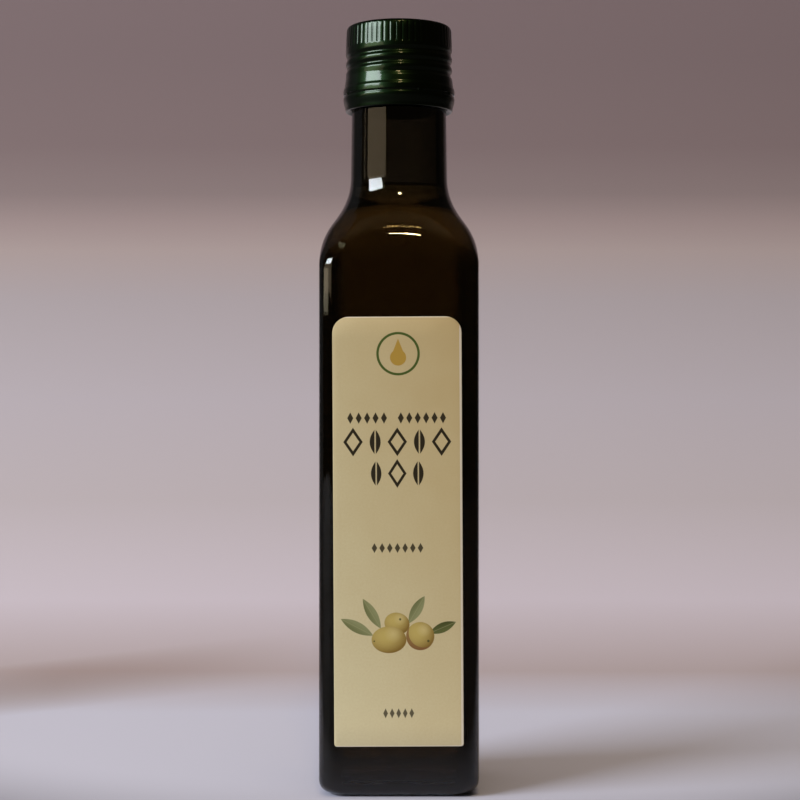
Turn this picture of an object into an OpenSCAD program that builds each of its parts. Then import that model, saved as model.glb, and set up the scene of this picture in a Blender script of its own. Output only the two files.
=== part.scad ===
// Square glass bottle of oil with a rolled aluminium screw cap and one front label.
// Millimetres, +Z up. The origin is the middle of the base, on the surface the bottle stands on,
// and the label faces -Y.

/* [Glass body] */
// Width of the square body across its flats
body_w = 46; // [36:0.5:64]
// Height at which the upright corners start to turn into the shoulder
body_h = 149.6; // [90:0.2:240]
// Radius of the four upright corners
corner_r = 5; // [4.5:0.1:9]
// Radius of the rounded edge round the base
heel_r = 4.5; // [2:0.1:4.5]
// Thickness of the side walls
wall = 3; // [1.6:0.1:4]
// Thickness of the glass under the oil
base_t = 5; // [3.5:0.1:9]
// Radius of the four upright corners of the cavity
cavity_corner_r = 5.5; // [4:0.1:8]
// Radius of the edge round the floor of the cavity
cavity_floor_r = 4; // [2:0.1:4]
// Width of the round hollow under the base
punt_d = 31; // [16:0.5:31]
// Depth of the round hollow under the base
punt_h = 1.6; // [0.4:0.1:2.6]

/* [Shoulder and neck] */
// Radius of the turned crown where it meets the upright corners
crown_r = 10; // [6:0.5:14]
// Slope of the shoulder, measured from upright
shoulder_angle = 43.5; // [34:0.5:54]
// Radius of the sweep from the shoulder up into the neck
neck_sweep_r = 19; // [10:0.5:26]
// Length of the bare neck between the sweep and the cap
neck_h = 21.1; // [10:0.1:50]
// How much the neck widens on each side from its top to its foot
neck_flare = 0.3; // [0:0.1:1]
// Bore of the neck
bore_d = 22; // [14:0.5:22]
// Height of the glass that the cap covers, up to the lip
finish_h = 22.4; // [20:0.1:30]
// Step on each side from the covered glass in to the neck, which the cap is rolled under
finish_step = 0.65; // [0.3:0.05:1]
// Radius of the rounded lip
lip_r = 0.8; // [0.3:0.1:1.4]

/* [Oil] */
// How far the oil stands above the foot of the neck sweep
oil_rise = 9.5; // [0:0.5:12]
// Gap between the oil and the glass
oil_gap = 0.03; // [0.01:0.01:0.1]

/* [Cap] */
// Diameter of the cap over its knurl
cap_d = 31.5; // [26:0.1:38]
// Thickness of the cap's wall
cap_wall = 0.95; // [0.8:0.05:1.4]
// Thickness of the cap's top with its liner
cap_top_t = 1.2; // [0.8:0.1:2]
// Gap between the cap's wall and the glass
cap_clear = 0.15; // [0.05:0.05:0.4]
// Radius of the cap's top edge
cap_edge_r = 1.2; // [0.6:0.1:2]
// Number of grooves in the knurl
knurl_count = 54; // [30:1:72]
// Depth of a knurl groove
knurl_depth = 0.32; // [0.1:0.02:0.45]
// Radius of the round tool that presses a knurl groove
knurl_tool_r = 0.5; // [0.3:0.05:0.6]
// Distance from the cap's top to the start of the knurl
knurl_top = 0.9; // [0.4:0.1:2]
// Height of the knurl
knurl_h = 5.9; // [3:0.1:6.2]
// Distance from the cap's top to the upper end of the rolled thread
thread_top = 8.2; // [8.1:0.1:9]
// Rise of the rolled thread in one turn
thread_pitch = 3.1; // [2.6:0.05:3.2]
// Turns of the rolled thread
thread_turns = 2; // [1:0.25:2]
// Depth of the rolled thread
thread_depth = 0.5; // [0.1:0.05:0.55]
// Radius of the roller that presses the thread
thread_tool_r = 1.05; // [0.7:0.05:1.2]
// How much the tamper band stands out past the knurl on each side
band_flare = 0.75; // [0:0.05:1.2]
// Height over which the cap widens into the tamper band
band_rise = 3; // [2:0.1:3.4]
// Depth of the cut line above the tamper band
slit_depth = 0.35; // [0.1:0.05:0.6]
// Height of the cut line
slit_h = 0.6; // [0.3:0.1:1]
// Number of bridges across the cut line
bridge_count = 8; // [4:1:16]
// Width of one bridge, in degrees round the cap
bridge_turn = 5; // [2:0.5:10]

/* [Label] */
// Bare glass on each side of the label
label_margin = 4.6; // [4:0.1:14]
// Height of the label's lower edge above the base
label_foot = 14.8; // [8:0.1:30]
// Distance of the label's upper edge below the shoulder's start
label_drop = 12.5; // [6:0.1:40]
// Thickness of the paper
label_t = 0.15; // [0.1:0.05:0.4]
// Radius of the label's two upper corners
label_top_r = 4; // [0.5:0.1:8]
// Radius of the label's two lower corners
label_foot_r = 0.8; // [0.2:0.1:4]
// How far the label sits off the middle, towards +X
label_shift = -0.3; // [-1:0.1:1]
// Turn of the label from upright, anticlockwise in degrees
label_turn = 0.3; // [-1:0.1:1]

/* [Hidden] */
$fn = 96;
ARC_STEPS = 10;
OVERCUT = 1;
WELD = 0.001;
GLASS_COLOR = [0.13, 0.10, 0.03];
OIL_COLOR = [0.60, 0.52, 0.10];
CAP_COLOR = [0.05, 0.14, 0.08];
PAPER_COLOR = [0.72, 0.65, 0.48];

// Shoulder: crown arc, straight slope and neck sweep, each tangent to the next
CROWN_CLEAR = 1;
corner_reach = (body_w / 2 - corner_r) * sqrt(2) + corner_r;
crown_reach = corner_reach + CROWN_CLEAR;
crown_mid = crown_reach - crown_r;
slope_foot_r = crown_mid + crown_r * cos(shoulder_angle);
slope_foot_z = body_h + crown_r * sin(shoulder_angle);

// Cap and the glass that it covers, from the cap inwards
cap_r = cap_d / 2;
cap_bore_r = cap_r - cap_wall;
finish_r = cap_bore_r - cap_clear;
neck_top_r = finish_r - finish_step;
neck_foot_r = neck_top_r + neck_flare;
slope_top_r = neck_foot_r + neck_sweep_r * (1 - cos(shoulder_angle));
slope_top_z = slope_foot_z + (slope_foot_r - slope_top_r) / tan(shoulder_angle);
neck_foot_z = slope_top_z + neck_sweep_r * sin(shoulder_angle);
finish_z = neck_foot_z + neck_h;
lip_z = finish_z + finish_h;
cap_top_z = lip_z + cap_top_t;
bore_r = bore_d / 2;

// Cavity, one wall inside the shoulder's slope
bore_sweep_r = neck_sweep_r + wall;
bore_sweep_x = bore_r + bore_sweep_r;
cavity_crown_r = crown_r - wall;
cavity_w = body_w - 2 * wall;
cavity_slope_r = bore_sweep_x - bore_sweep_r * cos(shoulder_angle);
cavity_foot_r = crown_mid + cavity_crown_r * cos(shoulder_angle);
cavity_foot_z = body_h + cavity_crown_r * sin(shoulder_angle);
cavity_slope_z = cavity_foot_z + (cavity_foot_r - cavity_slope_r) / tan(shoulder_angle);
bore_foot_z = cavity_slope_z + bore_sweep_r * sin(shoulder_angle);
oil_z = slope_top_z + oil_rise;

// Cap stations, measured down from the cap's top
THREAD_TO_BAND = 0.95;
BAND_TO_SLIT = 0.9;
FINISH_TO_ROLL = 0.4;
ROLL_H = 1.2;
ROLL_R = 0.9;
ROLL_FROM = -30;
ROLL_GAP = 0.35;
band_top = thread_top + thread_pitch * thread_turns + thread_tool_r + THREAD_TO_BAND;
band_full = band_top + band_rise;
slit_top = band_full + BAND_TO_SLIT;
band_foot = cap_top_t + finish_h + FINISH_TO_ROLL;
cap_foot = band_foot + ROLL_H;
roll_r = neck_top_r + ROLL_GAP;
THREAD_RINGS_PER_TURN = 20;
THREAD_SIDES = 8;
THREAD_FADE = 0.12;
BRIDGE_START = -113;
KNURL_TOOL_SIDES = 24;

// Points of an arc, from one angle to the other
function arc(mid, r, from, to) =
    [for (i = [0:ARC_STEPS]) mid + r * [cos(from + (to - from) * i / ARC_STEPS),
                                        sin(from + (to - from) * i / ARC_STEPS)]];

// Square block with rounded upright corners and a rounded lower edge, standing on z = 0
module rounded_block(w, r, edge, h) {
    reach = w / 2 - r;
    for (turn = [0, 90])
        rotate([90, 0, turn])
            linear_extrude(2 * reach, center = true)
                intersection() {
                    union() {
                        translate([-w / 2, edge]) square([w, h - edge]);
                        translate([edge - w / 2, 0]) square([w - 2 * edge, h]);
                        for (side = [-1, 1])
                            translate([side * (w / 2 - edge), edge]) circle(edge);
                    }
                    translate([-w / 2, 0]) square([w, h]);
                }
    for (x = [-reach, reach], y = [-reach, reach])
        translate([x, y, 0])
            rotate_extrude()
                intersection() {
                    union() {
                        translate([0, edge]) square([r, h - edge]);
                        square([r - edge + WELD, h]);
                        translate([r - edge, edge]) circle(edge);
                    }
                    square([r, h]);
                }
}

// Turned outline of the glass: crown, slope, sweep, neck, covered finish and lip
module glass_outline() {
    polygon(concat(
        [[0, 0], [crown_reach, 0]],
        arc([crown_mid, body_h], crown_r, 0, shoulder_angle),
        arc([neck_foot_r + neck_sweep_r, neck_foot_z], neck_sweep_r, 180 + shoulder_angle, 180),
        [[neck_top_r, finish_z], [finish_r, finish_z + finish_step]],
        arc([finish_r - lip_r, lip_z - lip_r], lip_r, 0, 90),
        [[0, lip_z]]
    ));
}

// Turned outline of the cavity, up to a given height
module cavity_outline(top, gap = 0) {
    polygon(concat(
        [[0, 0], [crown_reach, 0]],
        arc([crown_mid, body_h], cavity_crown_r - gap, 0, shoulder_angle),
        arc([bore_sweep_x, bore_foot_z], bore_sweep_r + gap, 180 + shoulder_angle, 180),
        [[bore_r - gap, top], [0, top]]
    ));
}

// Space inside the glass, drawn in by a gap
module cavity(top, gap = 0) {
    intersection() {
        translate([0, 0, base_t + gap])
            rounded_block(cavity_w - 2 * gap, cavity_corner_r, cavity_floor_r, top);
        rotate_extrude() cavity_outline(top, gap);
    }
}

// Round hollow under the base, a slice of a sphere
module punt() {
    r = (punt_d * punt_d / 4 + punt_h * punt_h) / (2 * punt_h);
    translate([0, 0, punt_h - r]) sphere(r);
}

module bottle() {
    color(GLASS_COLOR)
        difference() {
            intersection() {
                rounded_block(body_w, corner_r, heel_r, lip_z + OVERCUT);
                rotate_extrude() glass_outline();
            }
            cavity(lip_z + OVERCUT);
            punt();
        }
}

module oil() {
    color(OIL_COLOR)
        intersection() {
            cavity(lip_z, oil_gap);
            translate([-body_w / 2, -body_w / 2, 0]) cube([body_w, body_w, oil_z]);
        }
}

// Turned outline of the cap, with its rolled lower edge
module cap_outline() {
    polygon(concat(
        [[0, cap_top_z]],
        arc([cap_r - cap_edge_r, cap_top_z - cap_edge_r], cap_edge_r, 90, 0),
        [for (i = [0:ARC_STEPS])
            [cap_r + band_flare * (1 - cos(180 * i / ARC_STEPS)) / 2,
             cap_top_z - band_top - band_rise * i / ARC_STEPS]],
        [[cap_r + band_flare, cap_top_z - slit_top - slit_h]],
        arc([roll_r + ROLL_R, cap_top_z - cap_foot + ROLL_R], ROLL_R, ROLL_FROM, -90),
        [[roll_r, cap_top_z - cap_foot],
         [roll_r, cap_top_z - band_foot],
         [cap_bore_r, cap_top_z - band_foot],
         [cap_bore_r, lip_z],
         [0, lip_z]]
    ));
}

// One ring of the roller that presses the thread, at a share of its whole run
function thread_ring(share) =
    let (turn = 360 * thread_turns * share,
         fade = min(1, share / THREAD_FADE, (1 - share) / THREAD_FADE),
         r = cap_r + thread_tool_r - thread_depth * fade,
         z = cap_top_z - thread_top - thread_pitch * thread_turns * share)
    [for (i = [0:THREAD_SIDES - 1])
        let (a = 360 * (i + 0.5) / THREAD_SIDES,
             out = r + thread_tool_r * cos(a))
        [out * cos(-turn), out * sin(-turn), z + thread_tool_r * sin(a)]];

// Helical groove of the rolled thread: rings of the roller joined from end to end
module thread_groove() {
    rings = round(THREAD_RINGS_PER_TURN * thread_turns);
    n = THREAD_SIDES;
    points = [for (k = [0:rings]) each thread_ring(k / rings)];
    skin = [for (k = [0:rings - 1], i = [0:n - 1])
        each [[k * n + i, (k + 1) * n + i, k * n + (i + 1) % n],
              [k * n + (i + 1) % n, (k + 1) * n + i, (k + 1) * n + (i + 1) % n]]];
    ends = [for (i = [1:n - 2])
        each [[0, i, i + 1], [rings * n, rings * n + i + 1, rings * n + i]]];
    polyhedron(points, concat(skin, ends));
}

// Ring of grooves that gives the knurl its grip
module knurl_grooves() {
    for (i = [0:knurl_count - 1])
        rotate([0, 0, 360 * i / knurl_count])
            translate([cap_r + knurl_tool_r - knurl_depth, 0, cap_top_z - knurl_top - knurl_h])
                cylinder(knurl_h, r = knurl_tool_r, $fn = KNURL_TOOL_SIDES);
}

// Cut line above the tamper band, left whole at its bridges
module tamper_slit() {
    pitch = 360 / bridge_count;
    for (i = [0:bridge_count - 1])
        rotate([0, 0, BRIDGE_START + bridge_turn / 2 + i * pitch])
            rotate_extrude(angle = pitch - bridge_turn)
                translate([cap_r + band_flare - slit_depth, cap_top_z - slit_top - slit_h])
                    square([OVERCUT, slit_h]);
}

module cap() {
    color(CAP_COLOR)
        difference() {
            rotate_extrude() cap_outline();
            knurl_grooves();
            thread_groove();
            tamper_slit();
        }
}

module label() {
    w = body_w - 2 * label_margin;
    h = body_h - label_drop - label_foot;
    color(PAPER_COLOR)
        translate([label_shift, -body_w / 2, label_foot + h / 2])
            rotate([90, -label_turn, 0])
                linear_extrude(label_t)
                    union() {
                        translate([-w / 2, label_foot_r - h / 2])
                            square([w, h - label_foot_r - label_top_r]);
                        translate([label_top_r - w / 2, -h / 2 + label_foot_r])
                            square([w - 2 * label_top_r, h - label_foot_r]);
                        translate([label_foot_r - w / 2, -h / 2])
                            square([w - 2 * label_foot_r, h - label_top_r]);
                        for (side = [-1, 1]) {
                            translate([side * (w / 2 - label_top_r), h / 2 - label_top_r])
                                circle(label_top_r);
                            translate([side * (w / 2 - label_foot_r), label_foot_r - h / 2])
                                circle(label_foot_r);
                        }
                    }
}

bottle();
oil();
cap();
label();
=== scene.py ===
"""Square glass bottle of oil with a rolled screw cap and a paper label.

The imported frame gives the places: the glass, the oil, the cap and the label each stand where
their own node stands. Sizes are metres in the property groups below.
"""
import math

import bmesh
import bpy
from mathutils import Matrix, Vector


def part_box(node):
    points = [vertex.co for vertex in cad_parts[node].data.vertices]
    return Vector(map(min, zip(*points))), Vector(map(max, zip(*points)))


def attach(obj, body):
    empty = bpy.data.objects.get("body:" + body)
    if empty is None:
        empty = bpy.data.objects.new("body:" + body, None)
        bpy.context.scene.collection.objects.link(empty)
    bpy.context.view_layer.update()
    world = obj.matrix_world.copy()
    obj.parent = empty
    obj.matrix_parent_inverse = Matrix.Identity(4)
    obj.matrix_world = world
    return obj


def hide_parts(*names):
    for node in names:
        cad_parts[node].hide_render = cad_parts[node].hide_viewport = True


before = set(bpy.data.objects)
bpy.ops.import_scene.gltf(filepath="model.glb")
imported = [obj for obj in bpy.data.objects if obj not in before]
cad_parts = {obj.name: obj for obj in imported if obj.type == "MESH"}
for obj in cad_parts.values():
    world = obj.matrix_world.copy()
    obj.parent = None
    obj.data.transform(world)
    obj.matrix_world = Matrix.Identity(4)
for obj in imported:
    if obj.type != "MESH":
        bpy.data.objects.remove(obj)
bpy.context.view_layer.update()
GLASS_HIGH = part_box("bottle")[1]
OIL_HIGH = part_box("oil")[1]
CAP_LOW, CAP_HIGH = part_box("cap")
LABEL_LOW, LABEL_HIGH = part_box("label")

bl_info = {
    "name": "Oil bottle",
    "version": (1, 0, 0),
    "blender": (4, 5, 0),
    "location": "3D View > Sidebar > Bottle",
    "description": "Builds a square glass oil bottle with its cap, label and a small studio",
    "category": "Add Mesh",
}

MM = 0.001
FULL_TURN = 2 * math.pi
WELD = 1e-6  # vertices nearer than this are one point
FINE_Z = 136 * MM  # above this height the glass's rings lie close, for the shoulder's curve
CROWN_R = 13 * MM  # within this radius the cavity's floor is a round crown
CROWN_H = 0.8 * MM


# ---------------------------------------------------------------- settings


class GlassSettings(bpy.types.PropertyGroup):
    """Sizes and colour of the glass."""

    corner_r: bpy.props.FloatProperty(
        name="Corner radius", description="Radius of the upright corners",
        default=5.0 * MM, unit="LENGTH")
    heel_r: bpy.props.FloatProperty(
        name="Heel radius", description="Radius of the edge round the base",
        default=4.5 * MM, unit="LENGTH")
    wall: bpy.props.FloatProperty(
        name="Wall", description="Thickness of the glass", default=3.0 * MM, unit="LENGTH")
    shoulder_thin: bpy.props.FloatProperty(
        name="Thin shoulder", description="How much thinner the glass is in the shoulder",
        default=1.5 * MM, unit="LENGTH")
    floor_z: bpy.props.FloatProperty(
        name="Floor", description="Height of the glass under the oil",
        default=5.0 * MM, unit="LENGTH")
    cavity_corner_r: bpy.props.FloatProperty(
        name="Inner corner radius", description="Radius of the cavity's upright corners",
        default=5.5 * MM, unit="LENGTH")
    cavity_floor_r: bpy.props.FloatProperty(
        name="Inner floor radius", description="Radius of the edge round the cavity's floor",
        default=4.0 * MM, unit="LENGTH")
    punt_r: bpy.props.FloatProperty(
        name="Punt radius", description="Radius of the hollow under the base",
        default=15.5 * MM, unit="LENGTH")
    punt_h: bpy.props.FloatProperty(
        name="Punt depth", description="Depth of the hollow under the base",
        default=1.6 * MM, unit="LENGTH")
    neck_foot_r: bpy.props.FloatProperty(
        name="Neck foot radius", description="Radius of the neck where the shoulder sweeps out",
        default=14.3 * MM, unit="LENGTH")
    neck_top_r: bpy.props.FloatProperty(
        name="Neck top radius", description="Radius of the neck under the cap",
        default=14.0 * MM, unit="LENGTH")
    neck_foot_z: bpy.props.FloatProperty(
        name="Neck foot", description="Height at which the shoulder's sweep meets the neck",
        default=179.25 * MM, unit="LENGTH")
    sweep_r: bpy.props.FloatProperty(
        name="Sweep radius", description="Radius of the sweep from the shoulder to the neck",
        default=19.0 * MM, unit="LENGTH")
    shoulder_angle: bpy.props.FloatProperty(
        name="Shoulder slope", description="Slope of the shoulder from upright",
        default=math.radians(43.5), subtype="ANGLE")
    finish_r: bpy.props.FloatProperty(
        name="Finish radius", description="Radius of the glass under the cap",
        default=14.65 * MM, unit="LENGTH")
    finish_z: bpy.props.FloatProperty(
        name="Finish foot", description="Height at which the covered glass starts",
        default=200.35 * MM, unit="LENGTH")
    lip_r: bpy.props.FloatProperty(
        name="Lip radius", description="Radius of the rounded lip",
        default=0.8 * MM, unit="LENGTH")
    melt: bpy.props.FloatProperty(
        name="Melt", description="How far the round shoulder and a flat side melt into each other",
        default=6.5 * MM, unit="LENGTH")
    corner_melt: bpy.props.FloatProperty(
        name="Corner melt", description="The same at an upright corner",
        default=3.2 * MM, unit="LENGTH")
    seam: bpy.props.FloatProperty(
        name="Mould seam", description="How far the seam of the mould stands out",
        default=0.06 * MM, unit="LENGTH")
    columns: bpy.props.IntProperty(
        name="Columns", description="Number of upright columns of faces", default=192)
    tint: bpy.props.FloatVectorProperty(
        name="Tint", description="Colour that deep glass keeps", subtype="COLOR",
        default=(0.22, 0.19, 0.07))
    depth: bpy.props.FloatProperty(
        name="Depth of colour", description="How strongly a metre of glass absorbs",
        default=815.0)


class OilSettings(bpy.types.PropertyGroup):
    """The contents."""

    into_wall: bpy.props.FloatProperty(
        name="Reach into the wall", description="How far the oil reaches into the glass, so that"
        " no air gap shows", default=0.15 * MM, unit="LENGTH")
    meniscus: bpy.props.FloatProperty(
        name="Meniscus", description="How far the oil climbs at the glass",
        default=0.9 * MM, unit="LENGTH")
    tint: bpy.props.FloatVectorProperty(
        name="Tint", description="Colour that deep oil keeps", subtype="COLOR",
        default=(0.96, 0.70, 0.02))
    depth: bpy.props.FloatProperty(
        name="Depth of colour", description="How strongly a metre of oil absorbs",
        default=60.0)


class CapSettings(bpy.types.PropertyGroup):
    """Sizes and colour of the cap. Heights are measured down from its top."""

    radius: bpy.props.FloatProperty(
        name="Radius", description="Radius over the knurl", default=15.75 * MM, unit="LENGTH")
    edge_r: bpy.props.FloatProperty(
        name="Edge radius", description="Radius of the top edge",
        default=1.2 * MM, unit="LENGTH")
    knurl_count: bpy.props.IntProperty(
        name="Knurl grooves", description="Number of grooves in the knurl", default=54)
    knurl_top: bpy.props.FloatProperty(
        name="Knurl start", description="Start of the knurl", default=0.75 * MM, unit="LENGTH")
    knurl_foot: bpy.props.FloatProperty(
        name="Knurl end", description="End of the knurl", default=6.8 * MM, unit="LENGTH")
    knurl_depth: bpy.props.FloatProperty(
        name="Knurl depth", description="Depth of a knurl groove",
        default=0.14 * MM, unit="LENGTH")
    thread_top: bpy.props.FloatProperty(
        name="Thread start", description="Upper end of the rolled thread",
        default=8.2 * MM, unit="LENGTH")
    thread_pitch: bpy.props.FloatProperty(
        name="Thread pitch", description="Rise of the thread in one turn",
        default=3.1 * MM, unit="LENGTH")
    thread_turns: bpy.props.FloatProperty(
        name="Thread turns", description="Turns of the thread", default=2.25)
    thread_depth: bpy.props.FloatProperty(
        name="Thread depth", description="Depth of the rolled thread",
        default=0.44 * MM, unit="LENGTH")
    draft: bpy.props.FloatProperty(
        name="Knurl draft", description="How much narrower the knurl is at its top",
        default=0.25 * MM, unit="LENGTH")
    flare: bpy.props.FloatProperty(
        name="Band flare", description="How far the tamper band stands out past the knurl",
        default=0.75 * MM, unit="LENGTH")
    swell: bpy.props.FloatProperty(
        name="Swell", description="How far the skirt has swelled before it steps out to the band",
        default=0.38 * MM, unit="LENGTH")
    swell_top: bpy.props.FloatProperty(
        name="Swell start", description="Where the skirt starts to swell",
        default=15.2 * MM, unit="LENGTH")
    step_top: bpy.props.FloatProperty(
        name="Step start", description="Where the skirt steps out to the band",
        default=17.8 * MM, unit="LENGTH")
    step_foot: bpy.props.FloatProperty(
        name="Step end", description="Where the band is full width",
        default=19.1 * MM, unit="LENGTH")
    slit_top: bpy.props.FloatProperty(
        name="Cut line", description="Upper edge of the cut line",
        default=20.3 * MM, unit="LENGTH")
    slit_h: bpy.props.FloatProperty(
        name="Cut height", description="Height of the cut line",
        default=0.6 * MM, unit="LENGTH")
    slit_depth: bpy.props.FloatProperty(
        name="Cut depth", description="Depth of the cut line",
        default=0.34 * MM, unit="LENGTH")
    bridges: bpy.props.IntProperty(
        name="Bridges", description="Number of bridges across the cut line", default=8)
    color: bpy.props.FloatVectorProperty(
        name="Lacquer", description="Colour of the lacquer", subtype="COLOR",
        default=(0.0056, 0.0132, 0.0048))


class LabelSettings(bpy.types.PropertyGroup):
    """Sizes and colours of the label and its print."""

    width: bpy.props.FloatProperty(
        name="Width", description="Width of the paper", default=36.8 * MM, unit="LENGTH")
    height: bpy.props.FloatProperty(
        name="Height", description="Height of the paper", default=122.3 * MM, unit="LENGTH")
    turn: bpy.props.FloatProperty(
        name="Turn", description="How far the label leans, anticlockwise",
        default=math.radians(0.3), subtype="ANGLE")
    top_r: bpy.props.FloatProperty(
        name="Upper corners", description="Radius of the two upper corners",
        default=4.6 * MM, unit="LENGTH")
    foot_r: bpy.props.FloatProperty(
        name="Lower corners", description="Radius of the two lower corners",
        default=0.8 * MM, unit="LENGTH")
    # The two paper colours hold painted light and shade: darker at the upper right, paler at the
    # lower left.
    paper: bpy.props.FloatVectorProperty(
        name="Paper", description="Colour of the paper at its upper right", subtype="COLOR",
        default=(0.494, 0.372, 0.186))
    paper_painted_lit: bpy.props.FloatVectorProperty(
        name="Pale paper", description="Colour of the paper at its lower left",
        subtype="COLOR", default=(0.712, 0.664, 0.444))
    ink: bpy.props.FloatVectorProperty(
        name="Ink", description="Colour of the dark ink", subtype="COLOR",
        default=(0.010, 0.006, 0.001))


class StageSettings(bpy.types.PropertyGroup):
    """The camera and the card that is both floor and wall."""

    distance: bpy.props.FloatProperty(
        name="Camera distance", description="From the bottle's axis to the camera",
        default=0.564, unit="LENGTH")
    eye_z: bpy.props.FloatProperty(
        name="Eye height", description="Height of the camera", default=0.1108, unit="LENGTH")
    lens: bpy.props.FloatProperty(
        name="Lens", description="Focal length in millimetres", default=85.5)
    tilt: bpy.props.FloatProperty(
        name="Tilt", description="How far the camera looks up",
        default=math.radians(0.27), subtype="ANGLE")
    wall_y: bpy.props.FloatProperty(
        name="Wall", description="Distance of the wall behind the bottle",
        default=0.45, unit="LENGTH")
    sweep: bpy.props.FloatProperty(
        name="Sweep", description="Reach of the curve from the floor up to the wall",
        default=0.30, unit="LENGTH")
    # The pale pool is a pool of painted light: inside it the card keeps its colour, outside it the
    # card is painted dark.
    painted_light_pool_y: bpy.props.FloatProperty(
        name="Pool middle", description="Distance of the middle of the pale pool behind the"
        " bottle", default=0.12, unit="LENGTH")
    painted_light_pool_r: bpy.props.FloatProperty(
        name="Pool radius", description="Radius within which the card is pale",
        default=0.165, unit="LENGTH")
    painted_light_pool_fade: bpy.props.FloatProperty(
        name="Pool fade", description="Width over which the pale pool fades out",
        default=0.18, unit="LENGTH")


# ---------------------------------------------------------------- shader maths


class Value:
    """A shader socket that takes part in Python arithmetic."""

    def __init__(self, finish, socket):
        self.finish = finish
        self.socket = socket

    def __add__(self, other):
        return self.finish.math("ADD", self, other)

    def __radd__(self, other):
        return self.finish.math("ADD", other, self)

    def __sub__(self, other):
        return self.finish.math("SUBTRACT", self, other)

    def __rsub__(self, other):
        return self.finish.math("SUBTRACT", other, self)

    def __mul__(self, other):
        return self.finish.math("MULTIPLY", self, other)

    def __rmul__(self, other):
        return self.finish.math("MULTIPLY", other, self)

    def __truediv__(self, other):
        return self.finish.math("DIVIDE", self, other)

    def __pow__(self, other):
        return self.finish.math("POWER", self, other)

    def __abs__(self):
        return self.finish.math("ABSOLUTE", self)


class Finish:
    """A material and the nodes that make it."""

    def __init__(self, name):
        self.material = bpy.data.materials.new(name)
        self.material.use_nodes = True
        self.tree = self.material.node_tree
        self.tree.nodes.clear()

    def node(self, kind, settings=None, values=None, out=0):
        """Adds any node: its settings first, then a value or a link for each socket."""
        made = self.tree.nodes.new(kind)
        for key, setting in (settings or {}).items():
            if key == "stops":
                fill_ramp(made.color_ramp, setting)
            else:
                setattr(made, key, setting)
        for key, value in (values or {}).items():
            if isinstance(value, Value):
                self.tree.links.new(value.socket, made.inputs[key])
            else:
                made.inputs[key].default_value = value
        return Value(self, made.outputs[out])

    def math(self, operation, *terms, clamp=False):
        """One Math node."""
        return self.node("ShaderNodeMath", {"operation": operation, "use_clamp": clamp},
                         dict(enumerate(terms)))

    def mix(self, factor, first, second, blend="MIX"):
        """One colour mixed into another."""
        return self.node("ShaderNodeMix", {"data_type": "RGBA", "blend_type": blend},
                         {0: factor, 6: color_of(first), 7: color_of(second)}, out=2)

    def noise(self, where, scale, detail=3.0, rough=0.5):
        """Fractal noise, centred on 0.5."""
        return self.node("ShaderNodeTexNoise", None,
                         {"Vector": where, "Scale": scale, "Detail": detail,
                          "Roughness": rough})

    def place(self, scale=(1, 1, 1), location=(0, 0, 0), rotation=(0, 0, 0)):
        """Object coordinates through a Mapping node."""
        coordinates = self.node("ShaderNodeTexCoord", out=3)
        return self.node("ShaderNodeMapping", None,
                         {"Vector": coordinates, "Scale": scale, "Location": location,
                          "Rotation": rotation})

    def split(self, vector):
        """The three parts of a vector."""
        first = self.node("ShaderNodeSeparateXYZ", None, {0: vector})
        return [Value(self, s) for s in first.socket.node.outputs]

    def bump(self, height, distance, strength=1.0):
        """A normal from a height in metres."""
        return self.node("ShaderNodeBump", None,
                         {"Height": height, "Distance": distance, "Strength": strength})

    def principled(self, **values):
        """The surface shader, with spaces in socket names written as underscores."""
        named = {key.replace("_", " "): value for key, value in values.items()}
        return self.node("ShaderNodeBsdfPrincipled", None, named)

    def output(self, surface, volume=None):
        """The material's output."""
        links = {"Surface": surface}
        if volume is not None:
            links["Volume"] = volume
        made = self.tree.nodes.new("ShaderNodeOutputMaterial")
        for key, value in links.items():
            self.tree.links.new(value.socket, made.inputs[key])
        return self.material


def fill_ramp(ramp, stops):
    """Sets a ramp's stops from pairs of position and colour."""
    while len(ramp.elements) > 1:
        ramp.elements.remove(ramp.elements[-1])
    for i, (position, color) in enumerate(stops):
        stop = ramp.elements[0] if i == 0 else ramp.elements.new(position)
        stop.position = position
        stop.color = color_of(color)


def color_of(value):
    """A colour with its alpha, or the link it already is."""
    if isinstance(value, Value) or len(value) == 4:
        return value
    return (*value, 1.0)


# ---------------------------------------------------------------- mesh helpers


def finish_piece(bm, name, material, node, smooth_angle=40):
    """Turns a bmesh into a piece that stands for a node of the frame."""
    bmesh.ops.remove_doubles(bm, verts=bm.verts, dist=WELD)
    bmesh.ops.recalc_face_normals(bm, faces=bm.faces)
    piece = mesh_object(bm, name, material)
    piece.data.set_sharp_from_angle(angle=math.radians(smooth_angle))
    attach(piece, "root")
    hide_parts(node)


def mesh_object(bm, name, material):
    """A smooth mesh object with one material, from a bmesh."""
    for face in bm.faces:
        face.smooth = True
    mesh = bpy.data.meshes.new(name)
    bm.to_mesh(mesh)
    bm.free()
    mesh.materials.append(material)
    made = bpy.data.objects.new(name, mesh)
    bpy.context.collection.objects.link(made)
    return made


def turn_outline(bm, outline, columns):
    """Spins a half outline of radius and height once round the upright axis."""
    verts = [bm.verts.new((r, 0, z)) for r, z in outline]
    edges = [bm.edges.new(pair) for pair in zip(verts, verts[1:])]
    before = set(bm.verts) - set(verts)
    bmesh.ops.spin(bm, geom=verts + edges, cent=(0, 0, 0), axis=(0, 0, 1), dvec=(0, 0, 0),
                   angle=FULL_TURN, steps=columns, use_merge=True, use_duplicate=False)
    return [v for v in bm.verts if v not in before]


def arc_points(center, radius, start, end, steps):
    """Points of an arc of radius and height, angles in degrees."""
    angles = [math.radians(start + (end - start) * i / steps) for i in range(steps + 1)]
    return [(center[0] + radius * math.cos(a), center[1] + radius * math.sin(a))
            for a in angles]


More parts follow.
